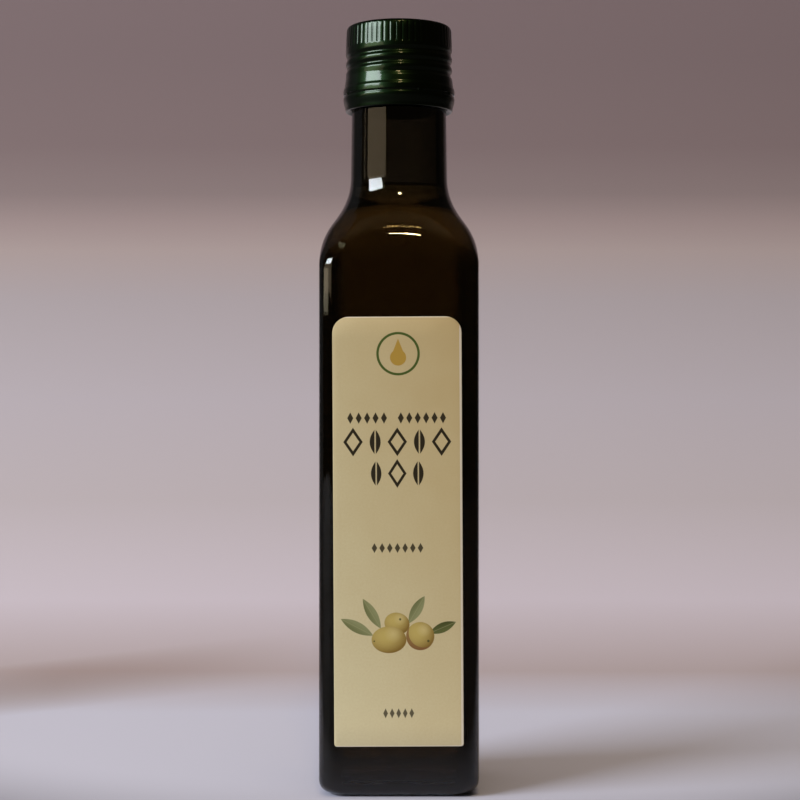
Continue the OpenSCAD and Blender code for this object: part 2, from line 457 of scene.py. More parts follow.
def steps_between(low, high, count):
    """Evenly spaced values from one end to the other, both ends in."""
    return [low + (high - low) * i / count for i in range(count + 1)]


def ease(share):
    """A smooth step from 0 to 1."""
    share = min(1.0, max(0.0, share))
    return share * share * (3 - 2 * share)


# ---------------------------------------------------------------- glass and oil


def inner_inset(glass, z):
    """How far the cavity stands inside the outer skin: less where the shoulder is blown thin."""
    thin_start, thin_end = 146 * MM, 174 * MM
    rising = ease((z - thin_start) / (12 * MM))
    falling = ease((thin_end - z) / (10 * MM))
    return glass.wall - glass.shoulder_thin * rising * falling


def dome_radius(glass, z, inset=0.0):
    """Radius of the turned shoulder and neck at a height, an inset inside the outer skin."""
    sweep = glass.sweep_r + inset
    mid = glass.neck_foot_r + glass.sweep_r
    if z >= glass.neck_foot_z:
        share = min(1.0, (z - glass.neck_foot_z) / (glass.finish_z - glass.neck_foot_z))
        return mid - sweep + (glass.neck_top_r - glass.neck_foot_r) * share
    drop = glass.neck_foot_z - z
    if drop <= sweep * math.sin(glass.shoulder_angle):
        return mid - math.sqrt(sweep ** 2 - drop ** 2)
    slope_r = mid - sweep * math.cos(glass.shoulder_angle)
    slope_drop = sweep * math.sin(glass.shoulder_angle)
    return slope_r + (drop - slope_drop) * math.tan(glass.shoulder_angle)


def square_radius(angle, half, corner):
    """Distance from the axis to a square with rounded corners, in a direction."""
    a = abs((angle + math.pi / 4) % (math.pi / 2) - math.pi / 4)
    reach = half - corner
    if half * math.tan(a) <= reach:
        return half / math.cos(a)
    along = reach * (math.cos(a) + math.sin(a))
    across = reach * (math.cos(a) - math.sin(a))
    return along + math.sqrt(max(0.0, corner ** 2 - across ** 2))


def soft_min(first, second, reach):
    """The lesser of two lengths, rounded off where they are less than a reach apart."""
    near = max(reach - abs(first - second), 0.0)
    return min(first, second) - near * near / (4 * reach)


def crowd_to_corners(angle, crowding=0.15):
    """Turns evenly spaced columns so that they crowd at the four corners."""
    return angle + crowding * math.sin(4 * angle)


def press_square(glass, verts, half, corner, edge, foot, floor_r):
    """Presses a turned skin into its square mould, with a rounded edge above its foot.

    Within floor_r the skin stays round. The upright corners get rounder towards the foot.
    """
    for v in verts:
        r = math.hypot(v.co.x, v.co.y)
        if r < WELD:
            continue
        angle = crowd_to_corners(math.atan2(v.co.y, v.co.x))
        rise = min(max(v.co.z - foot, 0.0), edge)
        inset = edge - math.sqrt(edge ** 2 - (edge - rise) ** 2)
        side = square_radius(angle, half - inset, corner + 0.5 * inset)
        if r > floor_r + WELD:
            corner_share = math.sin(2 * angle) ** 2
            r = soft_min(r, side, glass.melt + (glass.corner_melt - glass.melt) * corner_share)
        v.co.x = r * math.cos(angle)
        v.co.y = r * math.sin(angle)


def raise_seam(glass, verts):
    """Raises the two seams that the halves of the mould leave on opposite corners."""
    half_width = 0.2 * MM
    for v in verts:
        r = math.hypot(v.co.x, v.co.y)
        if v.co.z < glass.heel_r or v.co.z > glass.finish_z - 0.5 * MM:
            continue
        off_seam = abs(v.co.x - v.co.y) / math.sqrt(2)
        lift = glass.seam * max(0.0, 1 - off_seam / half_width)
        v.co.x *= 1 + lift / r
        v.co.y *= 1 + lift / r


def outer_outline(glass):
    """Half outline of the glass's outer skin, from the punt's middle over the lip to the bore."""
    far = dome_radius(glass, 0.0)
    punt = [(r, glass.punt_h * (1 - (r / glass.punt_r) ** 2))
            for r in steps_between(0, glass.punt_r, 8)]
    heel = [(far, glass.heel_r * (1 - math.cos(math.radians(a)))) for a in range(0, 91, 9)]
    heights = steps_between(glass.heel_r + 2 * MM, FINE_Z, 14)
    heights += steps_between(FINE_Z + 1 * MM, glass.neck_foot_z + 1 * MM, 52)
    heights += steps_between(glass.neck_foot_z + 2 * MM, glass.finish_z, 12)
    skin = [(dome_radius(glass, z), z) for z in heights]
    step = glass.finish_r - glass.neck_top_r
    finish = [(glass.finish_r, glass.finish_z + step)]
    lip_foot = GLASS_HIGH.z - glass.lip_r
    bore_r = dome_radius(glass, GLASS_HIGH.z, glass.wall)
    lip = arc_points((glass.finish_r - glass.lip_r, lip_foot), glass.lip_r, 0, 90, 5)
    lip += arc_points((bore_r + glass.lip_r, lip_foot), glass.lip_r, 90, 180, 5)
    return punt + heel + skin + finish + lip


def inner_outline(glass, top, floor_z, out=0.0):
    """Half outline of the cavity, from a height down to the middle of its floor."""
    def radius(z):
        return dome_radius(glass, z, inner_inset(glass, z) - out)

    heights = steps_between(top, glass.neck_foot_z, 8) if top > glass.neck_foot_z else []
    heights += steps_between(min(top, glass.neck_foot_z - 1 * MM), FINE_Z - 4 * MM, 44)
    heights += steps_between(FINE_Z - 5 * MM, floor_z + glass.cavity_floor_r + 1 * MM, 10)
    skin = [(radius(z), z) for z in heights]
    edge = [(radius(floor_z), floor_z + glass.cavity_floor_r * (1 - math.cos(math.radians(a))))
            for a in range(90, -1, -9)]
    floor = [(r, floor_z + CROWN_H * (1 - (r / glass.punt_r) ** 2))
             for r in steps_between(CROWN_R, 0, 6)]
    return skin + edge + floor


def build_glass(glass, material):
    """The hollow bottle: an outer skin that runs over the lip, and an inner one from there."""
    bm = bmesh.new()
    half = GLASS_HIGH.x
    outer = turn_outline(bm, outer_outline(glass), glass.columns)
    press_square(glass, outer, half, glass.corner_r, glass.heel_r, 0.0, glass.punt_r)
    raise_seam(glass, outer)
    cavity = inner_outline(glass, GLASS_HIGH.z - glass.lip_r, glass.floor_z)
    inner = turn_outline(bm, cavity, glass.columns)
    press_square(glass, inner, half - glass.wall, glass.cavity_corner_r,
                 glass.cavity_floor_r, glass.floor_z, CROWN_R)
    finish_piece(bm, "glass_bottle", material, "bottle")


def build_oil(glass, oil, material):
    """The contents, which reach just into the glass and climb a little at its wall."""
    bm = bmesh.new()
    level = OIL_HIGH.z
    foot = glass.floor_z - oil.into_wall
    skin = inner_outline(glass, level + oil.meniscus, foot, oil.into_wall)
    edge_r = skin[0][0]
    climb = 0.86  # share of the radius at which the surface starts to climb
    surface = [(edge_r * s, level + oil.meniscus * max(0.0, (s - climb) / (1 - climb)) ** 3)
               for s in (0, 0.5, 0.8, climb, 0.9, 0.93, 0.96, 0.98)]
    body = turn_outline(bm, surface + skin, glass.columns)
    half = GLASS_HIGH.x - glass.wall + oil.into_wall
    press_square(glass, body, half, glass.cavity_corner_r + oil.into_wall,
                 glass.cavity_floor_r, foot, CROWN_R)
    finish_piece(bm, "oil_fill", material, "oil")


def glass_finish(glass):
    """Dark green-brown glass: clear at its skin, deep in colour through its wall."""
    f = Finish("bottle_glass")
    where = f.place()
    wave = f.noise(where, 45.0, 2.0)
    pits = f.noise(where, 900.0, 2.0)
    normal = f.bump(wave + 0.05 * pits, 0.12 * MM, 0.5)
    surface = f.principled(Base_Color=(1, 1, 1, 1), Roughness=0.02, IOR=1.5,
                           Transmission_Weight=1.0, Normal=normal)
    volume = f.node("ShaderNodeVolumeAbsorption", None,
                    {"Color": color_of(glass.tint), "Density": glass.depth})
    return f.output(surface, volume)


def oil_finish(oil):
    """Clear yellow-green oil."""
    f = Finish("oil")
    surface = f.principled(Base_Color=(1, 1, 1, 1), Roughness=0.0, IOR=1.47,
                           Transmission_Weight=1.0)
    volume = f.node("ShaderNodeVolumeAbsorption", None,
                    {"Color": color_of(oil.tint), "Density": oil.depth})
    return f.output(surface, volume)


# ---------------------------------------------------------------- cap


def cap_outline(cap):
    """Half outline of the cap from its top's middle, down the skirt and back up inside."""
    top = CAP_HIGH.z
    foot = top - CAP_LOW.z
    full = cap.radius + cap.flare
    ring_z = top - 0.05 * MM
    disc = [(0, top), (9 * MM, top), (12.8 * MM, top), (13.1 * MM, ring_z),
            (13.5 * MM, ring_z), (13.8 * MM, top)]
    edge = arc_points((cap.radius - cap.draft - cap.edge_r, top - cap.edge_r),
                      cap.edge_r, 90, 0, 8)
    depths = steps_between(1.4 * MM, cap.knurl_foot - 0.5 * MM, 5)
    depths += steps_between(cap.knurl_foot - 0.35 * MM, cap.knurl_foot, 3)
    knurl = [(cap.radius - cap.draft * (1 - t / cap.knurl_foot), top - t) for t in depths]
    skirt = [(cap.radius + skirt_swell(cap, t), top - t)
             for t in steps_between(cap.knurl_foot + 0.3 * MM, cap.step_foot, 62)]
    lip = 0.03 * MM  # height of each turned-in edge of the cut line
    nick = 0.13 * MM  # how much narrower the band starts under the cut line
    soft = 0.6 * MM  # height over which it widens again
    cut_foot = cap.slit_top + cap.slit_h
    line = [(full, top - cap.slit_top + 0.12 * MM), (full, top - cap.slit_top),
            (full, top - cap.slit_top - lip), (full - nick, top - cut_foot + lip)]
    ring = [(full - nick * (1 - ease(s)), top - cut_foot - soft * s)
            for s in (0, 0.25, 0.5, 0.75, 1)]
    roll = 0.38 * MM
    rolled = full - 0.62 * MM
    band_top = cut_foot + soft
    band = [(full - (full - rolled) * ease(s) ** 1.2,
             top - band_top - (foot - roll - band_top) * s)
            for s in steps_between(0.125, 1, 7)]
    under = arc_points((rolled - roll, CAP_LOW.z + roll), roll, -15, -105, 6)
    tuck = [(15.0 * MM, CAP_LOW.z + 0.55 * MM), (14.5 * MM, CAP_LOW.z + 1.0 * MM)]
    bore_r = 14.8 * MM
    inside = [(bore_r, CAP_LOW.z + 1.3 * MM), (bore_r, GLASS_HIGH.z), (0, GLASS_HIGH.z)]
    return disc + edge + knurl + skirt + line + ring + band + under + tuck + inside


def skirt_swell(cap, t):
    """How far the skirt stands out past the knurl: a gentle swell, then a step to the band."""
    swell = cap.swell * min(1.0, max(0.0, (t - cap.swell_top) / (cap.step_top - cap.swell_top)))
    step = ease((t - cap.step_top) / (cap.step_foot - cap.step_top))
    return swell + (cap.flare - cap.swell) * step


def knurl_press(cap, angle, t):
    """Depth of the knurl at an angle and a height: rounded ribs with narrow grooves."""
    zone = ease((t - cap.knurl_top) / (0.5 * MM)) * ease((cap.knurl_foot - t) / (0.45 * MM))
    phase = (angle / FULL_TURN * cap.knurl_count) % 1.0
    rib = abs(2 * phase - 1)  # 0 on a rib's crest, 1 in the middle of a groove
    groove_start = 0.66
    groove = ease((rib - groove_start) / (1 - groove_start))
    return cap.knurl_depth * zone * (0.3 * rib ** 2 + 0.7 * groove)


def thread_press(cap, angle, t):
    """Depth of the rolled thread, a groove that winds down clockwise from the +X side."""
    half_width = 1.3 * MM
    lead, tail, fade_turns = 0.12, 0.1, 0.2  # both ends fade out, in turns
    turn = (-angle / FULL_TURN) % 1.0
    deep = 0.0
    for lap in range(-1, int(cap.thread_turns) + 1):
        run = turn + lap
        off = abs(t - cap.thread_top - cap.thread_pitch * run) / half_width
        fade = ease((run + lead) / fade_turns)
        fade *= ease((cap.thread_turns + tail - run) / fade_turns)
        deep += cap.thread_depth * fade * (1 - ease(off))
    return deep


def slit_press(cap, angle, t):
    """Depth of the cut line above the tamper band, nothing at a bridge."""
    edge = 0.01 * MM
    if not cap.slit_top + edge < t < cap.slit_top + cap.slit_h - edge:
        return 0.0
    first_bridge, half_width, fade = -113, 1.6, 0.8  # degrees
    pitch = 360 / cap.bridges
    off = abs((math.degrees(angle) - first_bridge + pitch / 2) % pitch - pitch / 2)
    return cap.slit_depth * ease((off - half_width) / fade)


def build_cap(cap, material):
    """The rolled cap: a turned shell with its knurl, thread and cut line pressed in."""
    bm = bmesh.new()
    columns_per_rib = 10
    verts = turn_outline(bm, cap_outline(cap), cap.knurl_count * columns_per_rib)
    press_r = cap.radius - 0.95 * cap.edge_r
    press_foot = cap.slit_top + cap.slit_h + 1 * MM
    for v in verts:
        r = math.hypot(v.co.x, v.co.y)
        t = CAP_HIGH.z - v.co.z
        if r < press_r or t > press_foot:
            continue
        angle = math.atan2(v.co.y, v.co.x)
        sink = sum(press(cap, angle, t) for press in (knurl_press, thread_press, slit_press))
        v.co.x *= 1 - sink / r
        v.co.y *= 1 - sink / r
    finish_piece(bm, "screw_cap", material, "cap", smooth_angle=50)


def cap_finish(cap):
    """Dark green lacquer over drawn aluminium, a little dulled where the rollers passed."""
    f = Finish("cap_lacquer")
    where = f.place()
    drawn = f.noise(f.place(scale=(40, 40, 4000)), 1.0, 2.0)
    cloud = f.noise(where, 160.0, 3.0)
    fine = f.noise(where, 2600.0, 2.0)
    color = f.mix(cloud, cap.color, tuple(c * 1.4 for c in cap.color))
    roughness = 0.27 + 0.09 * cloud + 0.05 * drawn
    normal = f.bump(0.6 * drawn + 0.4 * fine, 0.006 * MM, 0.6)
    surface = f.principled(Base_Color=color, Metallic=1.0, Roughness=roughness,
                           Coat_Weight=0.45, Coat_Roughness=0.10, Coat_IOR=1.5, Normal=normal)
    return f.output(surface)


# ---------------------------------------------------------------- label


def build_label(label, material):
    """The paper: a thin sheet with rounded corners that bends back at the glass's corners."""
    thick = LABEL_HIGH.y - LABEL_LOW.y
    bm = bmesh.new()
    bmesh.ops.create_cube(bm, size=1.0)
    bmesh.ops.scale(bm, vec=(label.width, thick, label.height), verts=bm.verts)
    for sign, radius, segments in ((1, label.top_r, 12), (-1, label.foot_r, 5)):
        corners = [e for e in bm.edges
                   if abs(e.verts[0].co.y - e.verts[1].co.y) > thick / 2
                   and e.verts[0].co.z * sign > 0 and abs(e.verts[0].co.x) > label.width * 0.45]
        bmesh.ops.bevel(bm, geom=corners, offset=radius, segments=segments, profile=0.5,
                        affect="EDGES", material=-1)
    rim = [e for e in bm.edges if all(v.co.y < 0 for v in e.verts)
           and len({f.normal.y < -0.5 for f in e.link_faces}) == 2]
    bmesh.ops.bevel(bm, geom=rim, offset=0.05 * MM, segments=2, profile=0.5, affect="EDGES",
                    material=-1)
    upright_cuts = [(x * MM, 0, 0) for x in (-18.1, -17.4, -16.5, -9, 0, 9, 16.5, 17.4)]
    level_cuts = [(0, 0, z * label.height) for z in steps_between(-0.45, 0.45, 8)]
    for cuts, across in ((upright_cuts, (1, 0, 0)), (level_cuts, (0, 0, 1))):
        for place in cuts:
            bmesh.ops.bisect_plane(bm, geom=bm.verts[:] + bm.edges[:] + bm.faces[:],
                                   plane_co=place, plane_no=across)
    middle = Matrix.Translation((LABEL_LOW + LABEL_HIGH) / 2)
    turn = Matrix.Rotation(-label.turn, 4, "Y")
    bmesh.ops.transform(bm, matrix=middle @ turn, verts=bm.verts)
    glass = bpy.context.scene.bottle_glass
    reach = GLASS_HIGH.x - glass.corner_r
    for v in bm.verts:
        past = max(0.0, abs(v.co.x) - reach)
        v.co.y += glass.corner_r - math.sqrt(glass.corner_r ** 2 - past ** 2)
    finish_piece(bm, "paper_label", material, "label", smooth_angle=60)


class Print:
    """Simple shapes printed on the label, in millimetres from its middle."""

    blur = 0.09  # width of a printed edge

    def __init__(self, finish, u, v):
        self.finish = finish
        self.u = u
        self.v = v

    def inside(self, distance, blur=None):
        """1 inside a shape and 0 outside, from the distance to its outline."""
        return self.finish.math("MULTIPLY_ADD", distance, -1 / (blur or self.blur), 0.5,
                                clamp=True)

    def local(self, center, turn=0.0):
        """Coordinates about a point, turned anticlockwise by degrees."""
        du, dv = self.u - center[0], self.v - center[1]
        if not turn:
            return du, dv
        c, s = math.cos(math.radians(turn)), math.sin(math.radians(turn))
        return du * c + dv * s, dv * c - du * s

    def ellipse(self, center, half_u, half_v, turn=0.0):
        """A filled ellipse."""
        du, dv = self.local(center, turn)
        reach = self.finish.math("SQRT", (du / half_u) ** 2 + (dv / half_v) ** 2)
        return self.inside((reach - 1) * min(half_u, half_v))

    def lozenge(self, center, half_u, half_v):
        """A filled lozenge."""
        du, dv = self.local(center)
        reach = abs(du) / half_u + abs(dv) / half_v
        return self.inside((reach - 1) * min(half_u, half_v) * 0.7)

    def leaf(self, tip, foot, half_width):
        """A pointed leaf from its tip to its foot, and its own coordinates."""
        center = ((tip[0] + foot[0]) / 2, (tip[1] + foot[1]) / 2)
        span = math.hypot(tip[0] - foot[0], tip[1] - foot[1])
        turn = math.degrees(math.atan2(tip[1] - foot[1], tip[0] - foot[0]))
        along, across = self.local(center, turn)
        share = along / (span / 2)
        mask = self.inside(abs(across) - half_width * (1 - share ** 2))
        return mask, share, across / half_width


def print_line(sheet, center_v, left, right, height, shapes):
    """A row of upright leaves and lozenges where a line of print would stand."""
    total = None
    pitch = (right - left) / len(shapes)
    for i, kind in enumerate(shapes):
        center = (left + pitch * (i + 0.5), center_v)
        if kind == " ":
            continue
        half_u = pitch * 0.40
        if kind == "l":
            tip, foot = (center[0], center_v + height / 2), (center[0], center_v - height / 2)
            shape, _, across = sheet.leaf(tip, foot, half_u * 0.62)
            shape = shape * (1 - sheet.inside(abs(across) - 0.12, 0.12))
        elif kind == "V":
            shape = sheet.lozenge(center, half_u * 1.1, height * 0.56)
            shape = shape * (1 - sheet.lozenge(center, half_u * 0.72, height * 0.36))
        else:
            shape = sheet.lozenge(center, half_u * 0.9, height * 0.56)
        total = shape if total is None else sheet.finish.math("MAXIMUM", total, shape)
    return total


def paint_olive(f, sheet, under, center, half_u, half_v, turn, flesh, shade, light):
    """One round olive: shaded away from the upper left, with a soft sheen."""
    mask = sheet.ellipse(center, half_u, half_v, turn)
    du, dv = sheet.local(center)
    fall = f.math("SQRT", ((du + 0.25 * half_u) / half_u) ** 2
                  + ((dv - 0.3 * half_v) / half_v) ** 2)
    tone = f.mix(f.math("MULTIPLY", fall ** 2, 0.62, clamp=True), flesh, shade)
    glow = sheet.inside(f.math("SQRT", (du - 0.25 * half_u) ** 2
                               + (dv - 0.45 * half_v) ** 2) - 0.1 * half_u, half_u * 0.9)
    tone = f.mix(glow * 0.6, tone, light)
    return f.mix(mask, under, tone)


def paint_leaf(f, sheet, under, tip, foot, half_width, dark, pale, vein):
    """One leaf: darker on one half and towards the tip, with a pale midrib."""
    mask, share, across = sheet.leaf(tip, foot, half_width)
    side = f.math("MULTIPLY_ADD", across, 0.9, 0.5, clamp=True)
    deep = f.math("MULTIPLY_ADD", share, 0.25, 0.55, clamp=True)
    tone = f.mix(side * deep, pale, dark)
    rib = sheet.inside(abs(across) - 0.06, 0.12)
    tone = f.mix(rib * 0.45, tone, vein)
    return f.mix(mask, under, tone)


def paint_sprig(f, sheet, color):
    """Three pale olives among four leaves."""
    dark = (0.045, 0.050, 0.012)
    green = (0.105, 0.118, 0.035)
    grey = (0.25, 0.26, 0.125)
    vein = (0.36, 0.35, 0.18)
    for tip, foot, width, deep, pale in (
        ((-16.0, -24.8), (-6.8, -29.6), 1.55, green, grey),
        ((-9.7, -19.1), (-4.6, -27.6), 1.45, green, grey),
        ((7.9, -18.4), (3.3, -26.2), 1.5, green, grey),
        ((16.8, -25.8), (9.2, -29.0), 1.4, dark, green),
    ):
        color = paint_leaf(f, sheet, color, tip, foot, width, deep, pale, vein)
    flesh = (0.50, 0.385, 0.120)
    shade = (0.22, 0.135, 0.028)
    light = (0.74, 0.63, 0.33)
    blush = (0.20, 0.085, 0.035)
    color = paint_olive(f, sheet, color, (0.0, -26.2), 3.6, 3.1, -15, flesh, shade, light)
    color = paint_olive(f, sheet, color, (6.6, -29.8), 4.0, 4.0, 0, flesh, shade, light)
    bruise = sheet.ellipse((6.6, -29.8), 4.0, 4.0) * (1 - sheet.ellipse((7.5, -28.8), 4.2, 4.2))
    color = f.mix(bruise * 0.75, color, blush)
    color = paint_olive(f, sheet, color, (-2.3, -30.8), 4.95, 3.8, 0, flesh, shade, light)
    for spot, size in (((0.9, -25.0), 0.34), ((8.9, -31.2), 0.36), ((-6.5, -31.2), 0.25)):
        color = f.mix(sheet.ellipse(spot, size, size) * 0.8, color, dark)
    return color


def paint_seal(f, sheet, color):
    """A plain round seal: a thin green ring about one drop of oil."""
    green = (0.060, 0.095, 0.016)
    gold = (0.42, 0.26, 0.045)
    middle = (0.7, 50.6)
    ring = sheet.ellipse(middle, 6.2, 6.2) * (1 - sheet.ellipse(middle, 5.5, 5.5))
    color = f.mix(ring, color, green)
    bulb_middle = (middle[0], middle[1] - 1.1)
    bulb = sheet.ellipse(bulb_middle, 2.3, 2.3)
    du, dv = sheet.local(bulb_middle)
    taper = 2.15 * (1 - dv / 5.4)
    point = sheet.inside(abs(du) - taper) * sheet.inside(0.6 - dv)
    return f.mix(f.math("MAXIMUM", bulb, point), color, gold)


def paint_paper(f, label, where, u, v, fibre):
    """The paper's colour with painted light and shade: paler towards the lower left as painted
    light, darker towards the upper right as painted shade, a little cloudy, with fibres.
    """
    cloud = f.noise(where, 0.09, 2.0)
    # painted light and shade: the paper pales towards the lower left and darkens towards the upper
    # right
    pale = 0.37 * (0.5 - u / (label.width / MM)) + 0.5 * (0.5 - v / (label.height / MM))
    pale = pale + 0.2 * (cloud - 0.5)
    color = f.mix(f.math("MAXIMUM", pale, 0.0), label.paper, label.paper_painted_lit)
    return f.mix(f.math("MULTIPLY_ADD", fibre, 0.5, -0.1, clamp=True), color,
                 tuple(c * 0.96 for c in label.paper))


PRINT_LINES = (  # millimetres from the label's middle: height, left, right; size, shapes, strength
    (32.3, -14.2, 14.6, 2.9, "vvvvv vvvvvv", 0.96),
    (25.5, -15.4, 16.1, 7.3, "VlVlV", 0.98),
    (16.5, -8.7, 9.3, 7.3, "lVl", 0.98),
    (-4.7, -7.4, 7.9, 2.5, "vvvvvvv", 0.90),
    (-51.7, -4.3, 5.0, 2.5, "vvvvv", 0.84),
)


def label_finish(label):
    """Cream label paper with a soft sheen, and its print on the front face only."""
    f = Finish("label_paper")
    middle = (LABEL_LOW + LABEL_HIGH) / 2
    where = f.place(scale=(1 / MM,) * 3, rotation=(0, label.turn, 0),
                    location=(-middle.x / MM, 0, -middle.z / MM))
    u, depth, v = f.split(where)
    sheet = Print(f, u, v)
    fibre = f.noise(where, 1.6, 4.0, 0.6)
    plain = paint_paper(f, label, where, u, v, fibre)
    color = plain
    for center_v, left, right, height, shapes, strength in PRINT_LINES:
        line = print_line(sheet, center_v, left, right, height, shapes)
        color = f.mix(line * strength, color, label.ink)
    color = paint_sprig(f, sheet, color)
    color = paint_seal(f, sheet, color)
    front = f.math("LESS_THAN", depth, LABEL_LOW.y / MM + 0.06)
    color = f.mix(front, plain, color)
    # painted highlight: a pale line along the paper's edges, where the cut edge catches the light
    edge_width = 0.22
    edge_u = sheet.inside(label.width / MM / 2 - edge_width - abs(u), 0.1)
    edge_v = sheet.inside(label.height / MM / 2 - edge_width - abs(v), 0.1)
    painted_edge_highlight = f.math("MAXIMUM", edge_u, edge_v)
    color = f.mix(painted_edge_highlight * 0.7, color, (0.86, 0.80, 0.70))
    normal = f.bump(fibre, 0.01 * MM, 0.5)
    surface = f.principled(Base_Color=color, Roughness=0.52 + 0.08 * fibre,
                           Specular_IOR_Level=0.25, Normal=normal)
    return f.output(surface)


# ---------------------------------------------------------------- stage


def build_floor(stage):
    """A pale floor that sweeps up into a wall behind the bottle."""
    bm = bmesh.new()
    front, width, top = -1.8, 2.4, 1.0
    path = [(front, 0.0), (stage.wall_y, 0.0), (stage.wall_y, top)]
    verts = [bm.verts.new((-width, y, z)) for y, z in path]
    for pair in zip(verts, verts[1:]):
        bm.edges.new(pair)
    bmesh.ops.bevel(bm, geom=[verts[1]], offset=stage.sweep, segments=48, profile=0.5,
                    affect="VERTICES", material=-1)
    grown = bmesh.ops.extrude_edge_only(bm, edges=bm.edges[:])
    moved = [g for g in grown["geom"] if isinstance(g, bmesh.types.BMVert)]
    bmesh.ops.translate(bm, vec=(2 * width, 0, 0), verts=moved)
    bmesh.ops.recalc_face_normals(bm, faces=bm.faces)
    mesh_object(bm, "studio_floor", floor_finish(stage))


# painted light and shade on the card: a pale floor in front, a painted dark band at the wall's
# foot, and painted shade that darkens the wall towards its top
PAINTED_SHADE_STOPS = (  # the card's colour from the floor in front up to the top of the wall
    (0.120, (0.585, 0.595, 0.735)),
    (0.172, (0.425, 0.360, 0.385)),
    (0.261, (0.535, 0.487, 0.568)),
    (0.386, (0.440, 0.398, 0.440)),
    (0.511, (0.418, 0.383, 0.437)),
    (0.637, (0.372, 0.332, 0.366)),
    (0.699, (0.370, 0.304, 0.309)),
    (0.732, (0.318, 0.250, 0.256)),
    (0.770, (0.235, 0.183, 0.190)),
    (0.830, (0.203, 0.151, 0.160)),
    (1.0, (0.205, 0.152, 0.165)),
)


def floor_finish(stage):
    """Pale matt card with painted light and shade: painted shade darkens it up the wall and in a
    band at the wall's foot, a painted shadow slants across the floor at the left, and outside a
    painted pool of light round the bottle it is painted dark.

    Side and rise are how far a point lies to the right of the eye and above it, for each metre
    of its distance from the eye.
    """
    f = Finish("studio_card")
    where = f.place()
    x, y, z = f.split(where)
    nearest = 0.45  # points nearer to the eye than this count as this near
    depth = f.math("MAXIMUM", y + stage.distance, nearest)
    side = x / depth
    rise = (z - stage.eye_z) / depth
    whole_rise = 0.42
    card = f.node("ShaderNodeValToRGB", {"stops": PAINTED_SHADE_STOPS}, {"Fac": rise / whole_rise + 0.5})
    cloud = f.noise(where, 5.0, 2.0)
    color = f.mix(cloud * 0.3, card, (0.93, 0.92, 0.94), "MULTIPLY")
    # painted shadow slanting across the floor at the left
    color = f.mix(painted_left_shadow(f, side, rise), color, (0.74, 0.67, 0.61), "MULTIPLY")
    # a pool of painted light round a point behind the bottle, shorter towards the camera
    front = f.math("MINIMUM", y - stage.painted_light_pool_y, 0.0) * 1.35
    out = f.math("SQRT", (side * (stage.painted_light_pool_y + stage.distance)) ** 2 + front ** 2)
    tall = f.math("DIVIDE", z, 0.1, clamp=True)
    # painted darkness: the card's colour outside the pool of painted light, darker up the wall
    dim = f.mix(tall, (0.060, 0.055, 0.056), (0.012, 0.010, 0.008))
    color = f.mix(smooth_range(f, out, stage.painted_light_pool_r, stage.painted_light_pool_r + stage.painted_light_pool_fade), color, dim)
    # painted darkness high up the wall
    color = f.mix(smooth_range(f, rise, 0.23, 0.33), color, (0.014, 0.011, 0.009))
    return f.output(f.principled(Base_Color=color, Roughness=0.85))


def smooth_range(f, value, start, end):
    """A smooth step from 0 to 1 as a value goes from start to end."""
    return f.node("ShaderNodeMapRange", {"interpolation_type": "SMOOTHSTEP"},
                  {"Value": value, "From Min": start, "From Max": end})


def painted_left_shadow(f, side, rise):
    """A faint painted brown shadow that slants across the floor at the left."""
    middle_side, middle_rise, slope, half_width = -0.0916, -0.1347, 0.116, 0.0135
    across = f.math("MULTIPLY_ADD", side, -7.5, -0.35, clamp=True)
    off = (rise - middle_rise - slope * (side - middle_side)) / half_width
    return f.math("SUBTRACT", 1.0, off ** 2, clamp=True) * across


def aim(thing, target):
    """Turns a camera or light to look at a point."""
    thing.rotation_euler = (Vector(target) - thing.location).to_track_quat("-Z", "Y").to_euler()


def add_area(name, azimuth, elevation, distance, size, power, color, target):
    """A flat light seen from the bottle at an azimuth from the camera's side and an elevation."""
    data = bpy.data.lights.new(name, "AREA")
    data.shape = "RECTANGLE"
    data.size, data.size_y = size
    data.energy = power
    data.color = color
    light = bpy.data.objects.new(name, data)
    a, e = math.radians(azimuth), math.radians(elevation)
    light.location = Vector(target) + distance * Vector(
        (math.sin(a) * math.cos(e), -math.cos(a) * math.cos(e), math.sin(e)))
    aim(light, target)
    bpy.context.collection.objects.link(light)
    return light


def build_lights():
    """A cool window at the left front with its sill, the room and a table below it, a small
    warm lamp, and a soft ceiling that isn't seen in the gloss."""
    cap_middle = (0, 0, 0.2)
    add_area("window", -59, 23.3, 3.19, (1.90, 1.02), 118.0, (0.88, 0.94, 1.0), cap_middle)
    add_area("sill", -56, 12.9, 3.05, (2.4, 0.13), 2.0, (1.0, 0.86, 0.66), cap_middle)
    add_area("room", -56, 7.3, 3.02, (2.7, 0.50), 5.0, (1.0, 0.78, 0.50), cap_middle)
    add_area("table", -70, 3.0, 3.0, (1.7, 0.14), 1.5, (1.0, 0.88, 0.62), cap_middle)
    add_area("lamp", 2.5, 44, 1.6, (0.18, 0.07), 4.2, (1.0, 0.72, 0.36), cap_middle)
    ceiling = add_area("ceiling", -20, 78, 2.2, (3.2, 3.2), 32.0, (1.0, 0.85, 0.68), cap_middle)
    ceiling.visible_glossy = False


def build_world():
    """A dim warm room."""
    world = bpy.data.worlds.new("room")
    world.use_nodes = True
    background = world.node_tree.nodes["Background"]
    background.inputs["Color"].default_value = (0.030, 0.023, 0.014, 1)
    background.inputs["Strength"].default_value = 1.0
    bpy.context.scene.world = world


def build_camera(stage):
    """A long lens at the height of the label's upper half."""
    data = bpy.data.cameras.new("camera")
    data.lens = stage.lens
    data.clip_start = 0.01
    camera = bpy.data.objects.new("camera", data)
    aside = 0.3 * MM
    camera.location = (aside, -stage.distance, stage.eye_z)
    camera.rotation_euler = (math.pi / 2 + stage.tilt, 0, 0)
    bpy.context.collection.objects.link(camera)
    bpy.context.scene.camera = camera


# ---------------------------------------------------------------- operators


